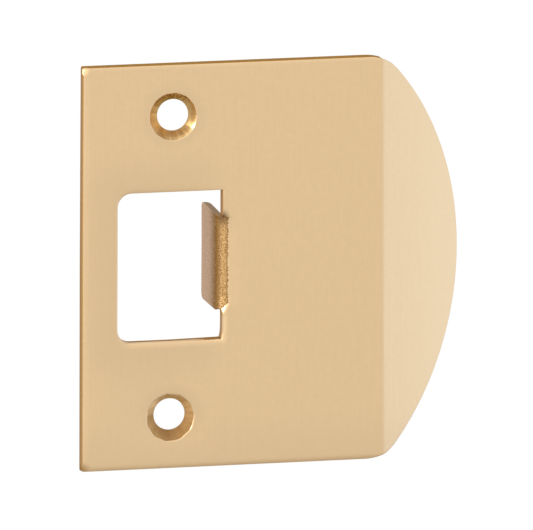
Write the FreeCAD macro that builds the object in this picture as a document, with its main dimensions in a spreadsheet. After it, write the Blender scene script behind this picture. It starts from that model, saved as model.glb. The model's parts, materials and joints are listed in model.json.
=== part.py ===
import FreeCAD, Part
import math
import os
import Sketcher

# A full-lip door strike plate, punched from one brass sheet and folded twice.
# The front face looks toward -Y, +X runs to the lip and +Z is up; all sizes are in millimetres.
# The origin lies on the back face, midway between the two screw holes.

Vector = FreeCAD.Vector
ORIGIN = (-1, 1)

# Driving sizes
SIZES = {
    "sheet_thickness": 1.59,
    "plate_height": 57.15,
    "plate_width": 43.05,
    "plate_corner_radius": 0.5,
    "lip_length": 13.4,
    "lip_angle": 27.0,
    "lip_corner_radius": 7.0,
    "fold_inside_radius": 0.15,
    "screw_inset": 12.8,
    "screw_spacing": 42.6,
    "screw_hole_diameter": 4.5,
    "countersink_diameter": 6.7,
    "countersink_angle": 82.0,
    "opening_inset": 4.95,
    "opening_width": 15.1,
    "opening_height": 21.2,
    "opening_corner_radius": 2.0,
    "tab_height": 13.6,
    "tab_depth": 10.4,
    "tab_setback": 0.95,
    "tab_corner_radius": 1.2,
    "tab_slit_width": 0.15,
    "edge_roll_radius": 0.3,
    "trim_allowance": 2.0,
}

doc = FreeCAD.newDocument("strike_plate")
sheet = doc.addObject("Spreadsheet::Sheet", "Sizes")
for row, (size_name, size_value) in enumerate(SIZES.items(), start=1):
    sheet.set(f"A{row}", size_name)
    sheet.set(f"B{row}", str(size_value))
    sheet.setAlias(f"B{row}", size_name)
doc.recompute()

# Places worked out from the sizes, to draw each sketch near its solved form
thickness = SIZES["sheet_thickness"]
inside_radius = SIZES["fold_inside_radius"]
outside_radius = inside_radius + thickness
lip_angle = math.radians(SIZES["lip_angle"])
half_height = SIZES["plate_height"] / 2
left_edge = -SIZES["screw_inset"]
fold_line = left_edge + SIZES["plate_width"]
opening_left = left_edge + SIZES["opening_inset"]
opening_right = opening_left + SIZES["opening_width"]
tab_root = opening_right + SIZES["tab_setback"]
tab_end = SIZES["tab_depth"] - thickness
half_tab = SIZES["tab_height"] / 2
TOLERANCE = 1e-4

body = doc.addObject("PartDesign::Body", "strike_plate")
body.Label = "strike_plate"


def origin_plane(role):
    """The body's own origin plane with this role."""
    return next(item for item in body.Origin.OriginFeatures if item.Role == role)


def new_sketch(name, role):
    """A sketch lying on one of the body's origin planes."""
    sketch = body.newObject("Sketcher::SketchObject", name)
    sketch.AttachmentSupport = (origin_plane(role), [""])
    sketch.MapMode = "FlatFace"
    return sketch


def line(sketch, start, end):
    """Draws a straight line between two points of the sketch."""
    return sketch.addGeometry(Part.LineSegment(Vector(*start, 0), Vector(*end, 0)), False)


def arc(sketch, centre, radius, start_angle, end_angle):
    """Draws an arc that runs anticlockwise between two angles in radians."""
    circle = Part.Circle(Vector(*centre, 0), Vector(0, 0, 1), radius)
    return sketch.addGeometry(Part.ArcOfCircle(circle, start_angle, end_angle), False)


def guide_point(sketch, place):
    """Draws a construction point that other geometry is measured from."""
    return sketch.addGeometry(Part.Point(Vector(*place, 0)), True)


def fix(sketch, kind, *references):
    """Adds a geometric constraint."""
    sketch.addConstraint(Sketcher.Constraint(kind, *references))


def size(sketch, name, kind, references, value, expression):
    """Adds a named dimension and ties it to the sheet of sizes."""
    index = sketch.addConstraint(Sketcher.Constraint(kind, *references, value))
    sketch.renameConstraint(index, name)
    sketch.setExpression("Constraints." + name, expression)


def finish_feature(feature, before, grows):
    """Recomputes a feature and makes sure that it really added or removed material."""
    doc.recompute()
    after = feature.Shape.Volume
    if grows != (after > before) or abs(after - before) < TOLERANCE:
        raise RuntimeError(f"{feature.Name} changed the volume from {before:.3f} to {after:.3f}")
    return after


# Folded strip: plate, fold and lip in one section, wider than the finished blank
def draw_strip_section():
    sketch = new_sketch("strip_section", "XY_Plane")
    fold_start = fold_line - outside_radius * math.tan(lip_angle / 2)
    along = (math.cos(lip_angle), math.sin(lip_angle))
    inward = (-along[1], along[0])
    reach = SIZES["lip_length"] + SIZES["trim_allowance"]
    centre = (fold_start, inside_radius)
    arc_span = (-math.pi / 2, -math.pi / 2 + lip_angle)
    outer_end = (fold_start + outside_radius * along[1], inside_radius - outside_radius * along[0])
    inner_end = (fold_start + inside_radius * along[1], inside_radius - inside_radius * along[0])
    front_tip = (fold_line + reach * along[0], -thickness + reach * along[1])
    back_tip = (front_tip[0] + thickness * inward[0], front_tip[1] + thickness * inward[1])
    front = line(sketch, (left_edge, -thickness), (fold_start, -thickness))
    outer = arc(sketch, centre, outside_radius, *arc_span)
    lip_front = line(sketch, outer_end, front_tip)
    tip = line(sketch, front_tip, back_tip)
    lip_back = line(sketch, back_tip, inner_end)
    inner = arc(sketch, centre, inside_radius, *arc_span)
    back = line(sketch, (fold_start, 0), (left_edge, 0))
    side = line(sketch, (left_edge, 0), (left_edge, -thickness))
    corner = guide_point(sketch, (fold_line, -thickness))
    fix(sketch, "Coincident", side, 2, front, 1)
    fix(sketch, "Tangent", front, 2, outer, 1)
    fix(sketch, "Tangent", outer, 2, lip_front, 1)
    fix(sketch, "Coincident", lip_front, 2, tip, 1)
    fix(sketch, "Coincident", tip, 2, lip_back, 1)
    fix(sketch, "Tangent", lip_back, 2, inner, 2)
    fix(sketch, "Tangent", inner, 1, back, 1)
    fix(sketch, "Coincident", back, 2, side, 1)
    fix(sketch, "Horizontal", front)
    fix(sketch, "Horizontal", back)
    fix(sketch, "Vertical", side)
    fix(sketch, "Horizontal", back, 1, *ORIGIN)
    fix(sketch, "Perpendicular", lip_front, tip)
    fix(sketch, "Parallel", lip_front, lip_back)
    fix(sketch, "Coincident", outer, 3, inner, 3)
    fix(sketch, "PointOnObject", corner, 1, front)
    fix(sketch, "PointOnObject", corner, 1, lip_front)
    size(sketch, "screw_inset", "DistanceX", (front, 1, *ORIGIN), -left_edge, "Sizes.screw_inset")
    size(sketch, "thickness", "DistanceY", (front, 1, side, 1), thickness, "Sizes.sheet_thickness")
    size(sketch, "inside_radius", "Radius", (inner,), inside_radius, "Sizes.fold_inside_radius")
    size(sketch, "lip_angle", "Angle", (lip_front,), lip_angle, "Sizes.lip_angle * 1 deg")
    size(sketch, "plate_width", "DistanceX", (front, 1, corner, 1), SIZES["plate_width"], "Sizes.plate_width")
    trimmed_lip = "Sizes.lip_length + Sizes.trim_allowance"
    size(sketch, "lip_reach", "Distance", (corner, 1, lip_front, 2), reach, trimmed_lip)
    return sketch


strip = body.newObject("PartDesign::Pad", "folded_strip")
strip.Profile = draw_strip_section()
strip.Midplane = True
strip.setExpression("Length", "Sizes.plate_height + 2 * Sizes.trim_allowance")
volume = finish_feature(strip, 0.0, True)


# Blank outline, drawn on the lip's front: a D-shaped lip whose arc springs from the plate's corners
def draw_blank_outline():
    sketch = new_sketch("blank_outline", "XZ_Plane")
    sketch.AttachmentOffset = FreeCAD.Placement(
        Vector(fold_line, 0, thickness), FreeCAD.Rotation(Vector(0, 1, 0), SIZES["lip_angle"])
    )
    sketch.setExpression("AttachmentOffset.Base.x", "Sizes.plate_width - Sizes.screw_inset")
    sketch.setExpression("AttachmentOffset.Base.z", "Sizes.sheet_thickness")
    sketch.setExpression("AttachmentOffset.Rotation.Angle", "Sizes.lip_angle * 1 deg")
    length = SIZES["lip_length"]
    rounding = SIZES["lip_corner_radius"]
    allowance = SIZES["trim_allowance"]
    arc_radius = (half_height ** 2 + length ** 2) / (2 * length)
    arc_centre = length - arc_radius
    rise = half_height - rounding
    run = math.sqrt((arc_radius - rounding) ** 2 - rise ** 2)
    meeting = math.atan2(rise, run)
    corner_x = arc_centre + run
    far_left = -(SIZES["plate_width"] + allowance)
    top = line(sketch, (far_left, half_height), (corner_x, half_height))
    upper = arc(sketch, (corner_x, rise), rounding, meeting, math.pi / 2)
    lip = arc(sketch, (arc_centre, 0), arc_radius, -meeting, meeting)
    lower = arc(sketch, (corner_x, -rise), rounding, -math.pi / 2, -meeting)
    bottom = line(sketch, (corner_x, -half_height), (far_left, -half_height))
    left = line(sketch, (far_left, -half_height), (far_left, half_height))
    spring = guide_point(sketch, (0, half_height))
    tip = guide_point(sketch, (length, 0))
    fix(sketch, "Tangent", top, 2, upper, 2)
    fix(sketch, "Tangent", upper, 1, lip, 2)
    fix(sketch, "Tangent", lip, 1, lower, 2)
    fix(sketch, "Tangent", lower, 1, bottom, 1)
    fix(sketch, "Coincident", bottom, 2, left, 1)
    fix(sketch, "Coincident", left, 2, top, 1)
    fix(sketch, "Horizontal", top)
    fix(sketch, "Horizontal", bottom)
    fix(sketch, "Vertical", left)
    fix(sketch, "Horizontal", lip, 3, *ORIGIN)
    fix(sketch, "Equal", upper, lower)
    fix(sketch, "Vertical", spring, 1, *ORIGIN)
    fix(sketch, "PointOnObject", spring, 1, top)
    fix(sketch, "PointOnObject", spring, 1, lip)
    fix(sketch, "Horizontal", tip, 1, *ORIGIN)
    fix(sketch, "PointOnObject", tip, 1, lip)
    half = "Sizes.plate_height / 2"
    trimmed_plate = "Sizes.plate_width + Sizes.trim_allowance"
    size(sketch, "corner_radius", "Radius", (upper,), rounding, "Sizes.lip_corner_radius")
    size(sketch, "upper_half", "DistanceY", (*ORIGIN, top, 1), half_height, half)
    size(sketch, "lower_half", "DistanceY", (bottom, 2, *ORIGIN), half_height, half)
    size(sketch, "reach_left", "DistanceX", (top, 1, *ORIGIN), -far_left, trimmed_plate)
    size(sketch, "lip_length", "DistanceX", (*ORIGIN, tip, 1), length, "Sizes.lip_length")

    # the scrap that falls away lies between this outline and a larger frame
    frame_left = far_left - allowance
    frame_right = length + 2 * allowance
    frame_top = half_height + 2 * allowance
    corners = [
        (frame_left, -frame_top),
        (frame_right, -frame_top),
        (frame_right, frame_top),
        (frame_left, frame_top),
    ]
    sides = [line(sketch, corners[i - 1], corners[i]) for i in range(len(corners))]
    for i, side in enumerate(sides):
        fix(sketch, "Coincident", sides[i - 1], 2, side, 1)
        fix(sketch, ("Vertical", "Horizontal")[i % 2], side)
    margin = " + 2 * Sizes.trim_allowance"
    left_reach = "Sizes.plate_width" + margin
    right_reach = "Sizes.lip_length" + margin
    size(sketch, "frame_left", "DistanceX", (sides[1], 1, *ORIGIN), -frame_left, left_reach)
    size(sketch, "frame_right", "DistanceX", (*ORIGIN, sides[1], 2), frame_right, right_reach)
    size(sketch, "frame_top", "DistanceY", (*ORIGIN, sides[2], 2), frame_top, half + margin)
    size(sketch, "frame_bottom", "DistanceY", (sides[1], 1, *ORIGIN), frame_top, half + margin)
    return sketch


blank = body.newObject("PartDesign::Pocket", "blank_edge")
blank.Profile = draw_blank_outline()
blank.Type = "ThroughAll"
volume = finish_feature(blank, volume, False)


# Latch opening: rounded at the left, with a slit above and below the tab at the right
def draw_latch_opening():
    sketch = new_sketch("latch_opening", "XZ_Plane")
    top_z = SIZES["opening_height"] / 2
    slit_z = half_tab + SIZES["tab_slit_width"]
    rounding = SIZES["opening_corner_radius"]
    start_x = opening_left + rounding
    path = [
        (start_x, -top_z),
        (opening_right, -top_z),
        (opening_right, -slit_z),
        (tab_root, -slit_z),
        (tab_root, slit_z),
        (opening_right, slit_z),
        (opening_right, top_z),
        (start_x, top_z),
    ]
    edges = [line(sketch, start, end) for start, end in zip(path, path[1:])]
    upper = arc(sketch, (start_x, top_z - rounding), rounding, math.pi / 2, math.pi)
    left = line(sketch, (opening_left, top_z - rounding), (opening_left, rounding - top_z))
    lower = arc(sketch, (start_x, rounding - top_z), rounding, math.pi, 1.5 * math.pi)
    for edge, following in zip(edges, edges[1:]):
        fix(sketch, "Coincident", edge, 2, following, 1)
    for i, edge in enumerate(edges):
        fix(sketch, ("Horizontal", "Vertical")[i % 2], edge)
    fix(sketch, "Tangent", edges[6], 2, upper, 1)
    fix(sketch, "Tangent", upper, 2, left, 1)
    fix(sketch, "Tangent", left, 2, lower, 1)
    fix(sketch, "Tangent", lower, 2, edges[0], 1)
    fix(sketch, "Vertical", left)
    fix(sketch, "Equal", upper, lower)
    fix(sketch, "Vertical", edges[0], 2, edges[5], 2)
    half = "Sizes.opening_height / 2"
    slit = "Sizes.tab_height / 2 + Sizes.tab_slit_width"
    inset = "Sizes.screw_inset - Sizes.opening_inset"
    size(sketch, "corner_radius", "Radius", (upper,), rounding, "Sizes.opening_corner_radius")
    size(sketch, "left_of_screws", "DistanceX", (left, 1, *ORIGIN), -opening_left, inset)
    size(sketch, "width", "DistanceX", (left, 1, edges[5], 2), SIZES["opening_width"], "Sizes.opening_width")
    lower_slit = edges[2]
    setback = SIZES["tab_setback"]
    size(sketch, "setback", "DistanceX", (lower_slit, 1, lower_slit, 2), setback, "Sizes.tab_setback")
    size(sketch, "upper_half", "DistanceY", (*ORIGIN, edges[6], 1), top_z, half)
    size(sketch, "lower_half", "DistanceY", (edges[0], 2, *ORIGIN), top_z, half)
    size(sketch, "upper_slit", "DistanceY", (*ORIGIN, edges[3], 2), slit_z, slit)
    size(sketch, "lower_slit", "DistanceY", (edges[3], 1, *ORIGIN), slit_z, slit)
    return sketch


opening = body.newObject("PartDesign::Pocket", "punched_opening")
opening.Profile = draw_latch_opening()
opening.Type = "ThroughAll"
opening.Midplane = True
volume = finish_feature(opening, volume, False)


# Tab: a tongue of the sheet folded straight back from the right side of the opening
def draw_tab_section():
    sketch = new_sketch("tab_section", "XY_Plane")
    centre = (tab_root, inside_radius)
    quarter = (math.pi, 1.5 * math.pi)
    outer_x = tab_root - outside_radius
    inner_x = tab_root - inside_radius
    root = line(sketch, (tab_root, 0), (tab_root, -thickness))
    outer = arc(sketch, centre, outside_radius, *quarter)
    face = line(sketch, (outer_x, inside_radius), (outer_x, tab_end))
    end = line(sketch, (outer_x, tab_end), (inner_x, tab_end))
    rear = line(sketch, (inner_x, tab_end), (inner_x, inside_radius))
    inner = arc(sketch, centre, inside_radius, *quarter)
    fix(sketch, "Coincident", root, 2, outer, 2)
    fix(sketch, "Tangent", outer, 1, face, 1)
    fix(sketch, "Coincident", face, 2, end, 1)
    fix(sketch, "Coincident", end, 2, rear, 1)
    fix(sketch, "Tangent", rear, 2, inner, 1)
    fix(sketch, "Coincident", inner, 2, root, 1)
    fix(sketch, "Coincident", outer, 3, inner, 3)
    fix(sketch, "Vertical", root)
    fix(sketch, "Vertical", face)
    fix(sketch, "Vertical", rear)
    fix(sketch, "Horizontal", end)
    fix(sketch, "Vertical", outer, 3, root, 1)
    fix(sketch, "Horizontal", root, 1, *ORIGIN)
    root_place = "Sizes.opening_inset + Sizes.opening_width + Sizes.tab_setback - Sizes.screw_inset"
    depth = "Sizes.tab_depth - Sizes.sheet_thickness"
    size(sketch, "root_place", "DistanceX", (*ORIGIN, root, 1), tab_root, root_place)
    size(sketch, "thickness", "DistanceY", (root, 2, root, 1), thickness, "Sizes.sheet_thickness")
    size(sketch, "inside_radius", "Radius", (inner,), inside_radius, "Sizes.fold_inside_radius")
    size(sketch, "depth", "DistanceY", (*ORIGIN, face, 2), tab_end, depth)
    return sketch


tab = body.newObject("PartDesign::Pad", "folded_tab")
tab.Profile = draw_tab_section()
tab.Midplane = True
tab.setExpression("Length", "Sizes.tab_height")
volume = finish_feature(tab, volume, True)


# Screw holes, countersunk from the front
def draw_screw_centres():
    sketch = new_sketch("screw_centres", "XZ_Plane")
    sketch.AttachmentOffset = FreeCAD.Placement(Vector(0, 0, thickness), FreeCAD.Rotation())
    sketch.setExpression("AttachmentOffset.Base.z", "Sizes.sheet_thickness")
    half = SIZES["screw_spacing"] / 2
    radius = SIZES["screw_hole_diameter"] / 2
    circles = []
    for z in (half, -half):
        circles.append(sketch.addGeometry(Part.Circle(Vector(0, z, 0), Vector(0, 0, 1), radius), False))
    for circle in circles:
        fix(sketch, "Vertical", circle, 3, *ORIGIN)
    fix(sketch, "Equal", *circles)
    size(sketch, "radius", "Radius", (circles[0],), radius, "Sizes.screw_hole_diameter / 2")
    size(sketch, "upper", "DistanceY", (*ORIGIN, circles[0], 3), half, "Sizes.screw_spacing / 2")
    size(sketch, "lower", "DistanceY", (circles[1], 3, *ORIGIN), half, "Sizes.screw_spacing / 2")
    return sketch


screw_centres = draw_screw_centres()
doc.recompute()
holes = body.newObject("PartDesign::Hole", "countersunk_holes")
holes.Profile = screw_centres
doc.recompute()
holes.ThreadType = "None"
holes.DepthType = "ThroughAll"
holes.HoleCutType = "Countersink"
holes.HoleCutCustomValues = True
holes.setExpression("Diameter", "Sizes.screw_hole_diameter")
holes.setExpression("HoleCutDiameter", "Sizes.countersink_diameter")
holes.setExpression("HoleCutCountersinkAngle", "Sizes.countersink_angle")
volume = finish_feature(holes, volume, False)


# Rounded edges
def near(value, target):
    """Tells whether a coordinate sits at a place."""
    return abs(value - target) < TOLERANCE


def edge_names(shape, chosen):
    """Names of the edges of a shape that pass a test."""
    return [f"Edge{i}" for i, edge in enumerate(shape.Edges, start=1) if chosen(edge)]


def round_edges(name, base, names, radius):
    """Rounds the named edges with a radius from the sheet of sizes."""
    fillet = body.newObject("PartDesign::Fillet", name)
    fillet.Base = (base, names)
    fillet.setExpression("Radius", radius)
    body.Tip = fillet
    return fillet


def is_plate_corner(edge):
    """The two corners at the left of the plate, across the thickness."""
    middle = edge.CenterOfMass
    return near(middle.x, left_edge) and near(abs(middle.z), half_height)


def is_tab_corner(edge):
    """The two free corners at the far end of the tab, across the thickness."""
    middle = edge.CenterOfMass
    return near(middle.y, tab_end) and near(abs(middle.z), half_tab)


corners = round_edges(
    "plate_corners", holes, edge_names(holes.Shape, is_plate_corner), "Sizes.plate_corner_radius"
)
volume = finish_feature(corners, volume, False)
tab_corners = round_edges(
    "tab_corners", corners, edge_names(corners.Shape, is_tab_corner), "Sizes.tab_corner_radius"
)
volume = finish_feature(tab_corners, volume, False)


def front_faces(shape):
    """The show side of the sheet: plate face, fold and lip face."""
    lip_normal = Vector(math.sin(lip_angle), -math.cos(lip_angle), 0)
    plate_normal = Vector(0, -1, 0)
    chosen = []
    for face in shape.Faces:
        surface = face.Surface
        if isinstance(surface, Part.Plane):
            normal = face.normalAt(0, 0)
            on_front = near(face.CenterOfMass.y, -thickness)
            if (normal - plate_normal).Length < TOLERANCE and on_front:
                chosen.append(face)
            elif (normal - lip_normal).Length < TOLERANCE:
                chosen.append(face)
        elif isinstance(surface, Part.Cylinder):
            upright = near(abs(surface.Axis.z), 1)
            if upright and near(surface.Radius, outside_radius) and face.CenterOfMass.x > tab_root:
                chosen.append(face)
    return chosen


def rolled_edges(shape):
    """Front edges that the punch drew over: the blank's outline and the opening, not the tab's slits."""
    count = {}
    for face in front_faces(shape):
        for edge in face.Edges:
            key = next((k for k in count if k.isSame(edge)), edge)
            count[key] = count.get(key, 0) + 1
    names = []
    slit_reach = half_tab + SIZES["tab_slit_width"] + TOLERANCE
    for i, edge in enumerate(shape.Edges, start=1):
        if not any(k.isSame(edge) and n == 1 for k, n in count.items()):
            continue
        middle = edge.CenterOfMass
        at_screw = near(middle.x, 0) and near(abs(middle.z), SIZES["screw_spacing"] / 2)
        at_slit = opening_right - TOLERANCE < middle.x < tab_root + TOLERANCE and abs(middle.z) < slit_reach
        if not at_screw and not at_slit:
            names.append(f"Edge{i}")
    return names


# The roll follows the plate's corners, so it takes up at most this share of their radius
CORNER_SHARE = 0.8
roll = round_edges(
    "rolled_front_edge",
    tab_corners,
    rolled_edges(tab_corners.Shape),
    f"min(Sizes.edge_roll_radius; {CORNER_SHARE} * Sizes.plate_corner_radius)",
)
volume = finish_feature(roll, volume, False)

# Check every object and write the part
for item in doc.Objects:
    if "Invalid" in item.State or "Error" in item.State:
        raise RuntimeError(f"{item.Name} is in the state {item.State}")
    if hasattr(item, "Shape") and item.isDerivedFrom("PartDesign::Feature"):
        if item.Shape.isNull() or not item.Shape.isValid():
            raise RuntimeError(f"{item.Name} has no valid shape")
if len(body.Shape.Solids) != 1:
    raise RuntimeError("the plate is not one solid")
os.makedirs("parts", exist_ok=True)
body.Shape.exportStep("parts/strike_plate.step")
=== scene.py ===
import json
import math

import bmesh
import bpy
from mathutils import Matrix, Vector, noise


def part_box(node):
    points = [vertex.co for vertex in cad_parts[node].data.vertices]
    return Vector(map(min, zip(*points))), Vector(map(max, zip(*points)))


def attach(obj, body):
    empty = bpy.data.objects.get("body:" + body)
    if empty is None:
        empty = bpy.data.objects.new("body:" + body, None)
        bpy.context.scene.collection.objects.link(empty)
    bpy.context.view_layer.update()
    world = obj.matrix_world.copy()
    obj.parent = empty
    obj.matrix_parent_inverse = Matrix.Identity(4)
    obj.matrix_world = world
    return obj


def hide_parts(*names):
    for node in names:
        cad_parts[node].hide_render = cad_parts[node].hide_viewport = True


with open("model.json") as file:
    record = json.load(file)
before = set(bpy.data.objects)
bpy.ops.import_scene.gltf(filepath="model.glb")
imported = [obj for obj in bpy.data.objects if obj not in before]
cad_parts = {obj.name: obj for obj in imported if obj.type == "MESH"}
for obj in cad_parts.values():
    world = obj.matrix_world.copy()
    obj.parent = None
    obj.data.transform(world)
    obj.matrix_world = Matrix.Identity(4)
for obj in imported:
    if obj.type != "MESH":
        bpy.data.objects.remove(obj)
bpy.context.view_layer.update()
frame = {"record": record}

# Sizes of the pressed plate, in millimetres. The blank is drawn flat and then folded, as the press does it.
MM = 0.001
plate_low, plate_high = (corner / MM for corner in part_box("strike_plate"))
screw_mount = next(m for m in frame["record"]["mounts"] if m["name"] == "screw_holes")

SHEET = -plate_low.y
PLATE_LEFT = plate_low.x
PLATE_HALF_HEIGHT = plate_high.z
PLATE_WIDTH = 43.14
PLATE_CORNER = 0.25
FOLD_LINE = PLATE_LEFT + PLATE_WIDTH
FOLD_INSIDE_RADIUS = 0.15
FOLD_OUTSIDE_RADIUS = FOLD_INSIDE_RADIUS + SHEET
LIP_ANGLE = math.radians(27)
LIP_LENGTH = 13.4
LIP_CORNER = 7.0
SCREW_Z = screw_mount["dims"]["spacing_y_mm"] / 2
SCREW_HOLE_RADIUS = screw_mount["dims"]["hole_r_mm"]
COUNTERSINK_RADIUS = 3.35
COUNTERSINK_ANGLE = math.radians(82)
OPENING_MARGIN = 4.95
OPENING_WIDTH = 15.0
OPENING_LEFT = PLATE_LEFT + OPENING_MARGIN
OPENING_RIGHT = OPENING_LEFT + OPENING_WIDTH
OPENING_HALF_HEIGHT = 10.6
OPENING_CORNER = 2.0
TAB_HALF_HEIGHT = 6.7
TAB_SETBACK = 1.05
TAB_ROOT = OPENING_RIGHT + TAB_SETBACK
TAB_CORNER = 1.2
TAB_SLIT = 0.02
TAB_DEPTH = plate_high.y - plate_low.y

# The press is not quite true: the fold leans off plumb, by this share of the height, and the left edge
# runs out below the middle.
FOLD_LEAN = 0.0076
SIDE_LEAN = 0.09

# The tab rises at its root, and along a curve towards its end, by (lower edge, upper edge). The sheet rises
# too at the upper slit (1) and the lower one (-1), within a reach (along it, across it), and a share of that
# is carried round the bend, to a reach and with a fade.
TAB_ROOT_RISES = (-0.03, 0.04)
TAB_END_RISES = (0.12, 0.56)
TAB_END_CURVE = 5
SLIT_RISES = {1: -0.06, -1: 1.3}
SLIT_RISE_REACH = (1.4, 3.0)
BEND_END_RISE = (0.3, 3.0, 0.8)

# The upper countersink (1), the lower one (-1) and their bores sit a little off their marks, by (right, up),
# and the sheet settles round them over a border.
SINK_SHIFTS = {1: (0.01, -0.09), -1: (-0.28, -0.07)}
BORE_SHIFTS = {1: (0.24, -0.06), -1: (-0.14, 0.16)}
HOLE_SETTLING = 2.0

# The shear and the punch draw the front over along each edge, by a width and a depth.
SIDE_ROLL = (0.1, 0.04)
SIDE_SLOPE = (1.1, 0.085)
HEAD_ROLL = (0.12, 0.07)
HEAD_SLOPE = (0.6, 0.05)
FOOT_ROLL = (0.2, 0.12)
FOOT_SLOPE = (0.95, 0.055)
OPENING_HEAD_ROLL = (0.9, 0.09)
OPENING_SIDE_ROLL = (0.2, 0.08)
OPENING_SILL_ROLL = (0.12, 0.45)
SILL_SLOPE = (0.95, 0.15)
UPPER_WALL_ROLL = (0.06, 0.03)
LOWER_WALL_ROLL = (0.15, 0.8)
LOWER_WALL_SLOPE = (0.8, 0.2)
TAB_ROLL = (0.94, 1.25)
TAB_EDGE_ROLL = (0.15, 0.08)
RIM_ROLLS = {1: (0.12, 0.05), -1: (0.2, 0.14)}
MOST_ROLL = 1.45

# The lower wall's roll starts below the slit, after a flat stretch and with a fade. That wall bends left
# towards the sill and the slit, by a reach and a depth, and the sill rises at its right end.
WALL_ROLL_FADE = (0.5, 0.6)
LOWER_WALL_BOW = (1.8, 0.2)
SLIT_BOW = (1.1, 0.09)
SILL_LIFT = 0.12

# The left corners are worn, and the lower one has a burr behind, by a reach and a depth.
HEAD_CORNER_WEAR = (1.0, 0.4)
FOOT_CORNER_WEAR = (1.5, 0.12)
FOOT_CORNER_BURR = (1.5, 0.14)

# The bending tab draws the plate in beside its slits to soft facets, by a tilt to the left, a tilt upward
# and a reach. They end past the slit, with a fade.
UPPER_FACET = (0.9, 0.8, 0.9)
LOWER_FACET = (0.6, 0.47, 1.15)
FACET_ENDS = (0.9, 0.45)
FACET_SOFT = 0.25

# Along the tab's root the plate gives way by a width and a depth, a little past the slits and with a fade.
LEAD_IN = (1.9, 0.085)
LEAD_IN_PAST = 0.3
LEAD_IN_FADE = 2.0

# How far the finish of an edge wraps on to the front. On the sill it does so only near the right end, by a
# length and a width.
SIDE_WRAP = 0.08
HEAD_WRAP = 0.08
WALL_WRAP = 0.06
LOWER_WALL_WRAP = 0.04
SILL_WRAP = (2.5, 0.04)

# How finely the sheet is cut where it is drawn, folded or grained.
EDGE_RINGS = (0.03, 0.08, 0.15, 0.22)
EDGE_STRIPS = (0.32, 0.44, 0.57, 0.73, 0.92, 1.12, 1.35)
OPENING_RINGS = (0.03, 0.08, 0.15, 0.24, 0.34, 0.46, 0.62, 0.82, 0.95)
SOFT_MARGIN = 2.0
CORNER_PATCH = 1.6
CORNER_CUT = 0.14
FOLD_STRIPS = 12
FOLD_MARGIN = 0.3
GRAIN_CUT = 0.12
ROOT_CUT = 0.2
BEND_MARGIN = 0.5
PLATE_CORNER_STEPS = 5
LIP_CORNER_STEPS = 12
LIP_ARC_STEPS = 40
TAB_CORNER_STEPS = 6
OPENING_CORNER_STEPS = 12
HOLE_SEGMENTS = 120
SINK_STEPS = 5
MERGE = 1e-3

# A face counts as front or back, or as looking up, above these shares of its normal, and an edge is sharp
# above this angle.
SQUARE_ON = 0.5
UPWARD = 0.55
CREASE = math.radians(35)

# The skin of the tab's bend, and the facets that a chattering countersink leaves.
GRAIN_SIZE = 0.3
GRAIN_HEIGHT = 0.016
GRAIN_FINE = 0.5
POLISH_REACH = 0.3
POLISH_RAGGED = 0.22
CHATTER_FACETS = {1: 13, -1: 11}
CHATTER_DEPTH = {1: 0.05, -1: 0.09}
CHATTER_SLIP = 0.7
CHATTER_ROAM = 1.7

# Worked out from the sizes above.
LIP_ARC = (PLATE_HALF_HEIGHT**2 + LIP_LENGTH**2) / (2 * LIP_LENGTH)
LIP_ARC_X = FOLD_LINE + LIP_LENGTH - LIP_ARC
LIP_CORNER_Z = PLATE_HALF_HEIGHT - LIP_CORNER
LIP_CORNER_X = LIP_ARC_X + math.sqrt((LIP_ARC - LIP_CORNER) ** 2 - LIP_CORNER_Z**2)
LIP_ARC_SWEEP = math.atan2(LIP_CORNER_Z, LIP_CORNER_X - LIP_ARC_X)
FOLD_HALF = FOLD_OUTSIDE_RADIUS * math.tan(LIP_ANGLE / 2)
FOLD_START = FOLD_LINE - FOLD_HALF
TAB_BEND = FOLD_OUTSIDE_RADIUS * math.pi / 2
TAB_END = TAB_ROOT - TAB_BEND - (TAB_DEPTH - FOLD_OUTSIDE_RADIUS)
TAB_FACE = TAB_ROOT - FOLD_OUTSIDE_RADIUS
COUNTERSINK_DEPTH = (COUNTERSINK_RADIUS - SCREW_HOLE_RADIUS) / math.tan(COUNTERSINK_ANGLE / 2)
SOFT_LEFT = OPENING_LEFT - SOFT_MARGIN
SOFT_RIGHT = TAB_ROOT + SOFT_MARGIN
SOFT_TOP = OPENING_HALF_HEIGHT + SOFT_MARGIN

# Sizes of the finishes' patterns, in millimetres, and along each axis where a pattern is drawn out.
BRUSHING = (0.2, 0.2, 9)
ROLLING = (0.3, 0.3, 14)
LACQUER_CLOUD = 0.7
SHEAR_STREAK = 0.4
TORN_FLECK = 0.5
BEND_PEEL = 0.16
TAB_SPECKLE = 0.25
TOOL_MARK = 0.25

# Where the finishes change, in millimetres: spots of painted shade and of a painted glint, and how far each
# change reaches.
FOOT_CORNER = (PLATE_LEFT, -SHEET, -PLATE_HALF_HEIGHT)
UPPER_SLIT_END = (TAB_ROOT - 1.3, -SHEET, TAB_HALF_HEIGHT)
GLINT_SPOT = (-2.4, -SHEET, 1.6 - SCREW_Z)
CORNER_SHADE_REACH = 1.6
SLIT_SHADE_REACH = 1.5
BEND_SHADE_REACH = 1.7
GLINT_REACH = 2.6
STRAINED_RIGHT = OPENING_RIGHT - 5
OPENING_STRAIN = 7
SINK_STRAIN = 2
FOOT_DULLING = (8, 1)
FOOT_LINE = 0.8
EDGE_GREYING = 0.8
BEND_DUSK = 1.5
BEND_PITS = (0.7, 0.3)
TAB_DUSK = 4.6
UPPER_SHADE_ARC = (1, 2.6)
LOWER_ARC = 2
RIGHT_ARC = 3.5

# The share of the sheet's thickness, from the back, that the shear has not burnished.
UNBURNISHED = 0.3

# Roughly how many facets the cutter leaves per radian, and what sets the two holes' facets apart.
FACET_PITCH = 3
HOLES_APART = (100, 100, 100)

# The finishes, in the order of the plate's material slots.
FACE, EDGE, TORN, BEND, TAB, BACK, COUNTERSINK = range(7)


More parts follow.
